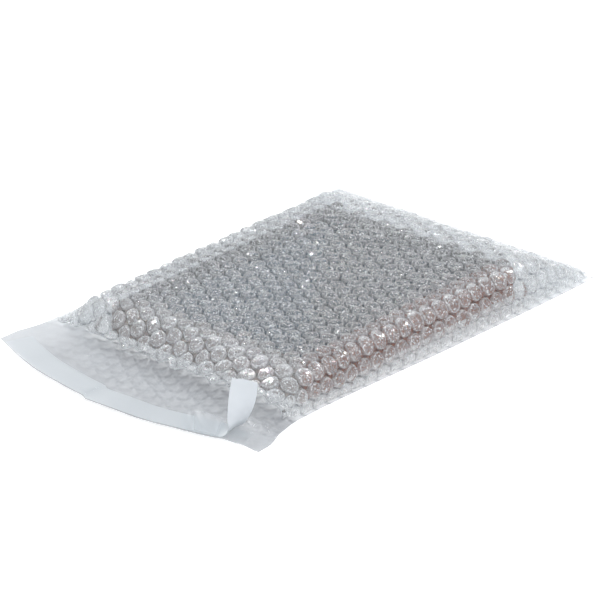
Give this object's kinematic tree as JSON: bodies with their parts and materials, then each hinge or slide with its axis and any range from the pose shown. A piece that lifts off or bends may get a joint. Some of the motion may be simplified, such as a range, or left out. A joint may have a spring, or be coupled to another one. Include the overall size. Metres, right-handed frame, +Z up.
{
  "type": "padded envelope",
  "caption": "Clear bubble-film mailing pouch lying flat, mouth open, with a wood-framed picture inside and its release liner partly peeled.",
  "frame": {"origin": "on the floor, under the middle of the pouch's outline", "axes": "+X across the pouch, +Y from the open mouth to the folded end, +Z up"},
  "size_m": [0.212, 0.342, 0.0367],
  "materials": {
    "bubble_film": "gloss",
    "adhesive": "gloss",
    "liner": "satin",
    "frame_wood": "satin",
    "glass": "gloss",
    "picture": "matte",
    "backing": "matte"
  },
  "bodies": {
    "root": {"bubble_pouch": "bubble_film", "adhesive_strip": "adhesive", "release_liner": "liner", "frame_rail_left": "frame_wood", "frame_rail_right": "frame_wood", "frame_rail_near": "frame_wood", "frame_rail_far": "frame_wood", "glazing": "glass", "picture_sheet": "picture", "backing_board": "backing"}
  },
  "joints": []
}
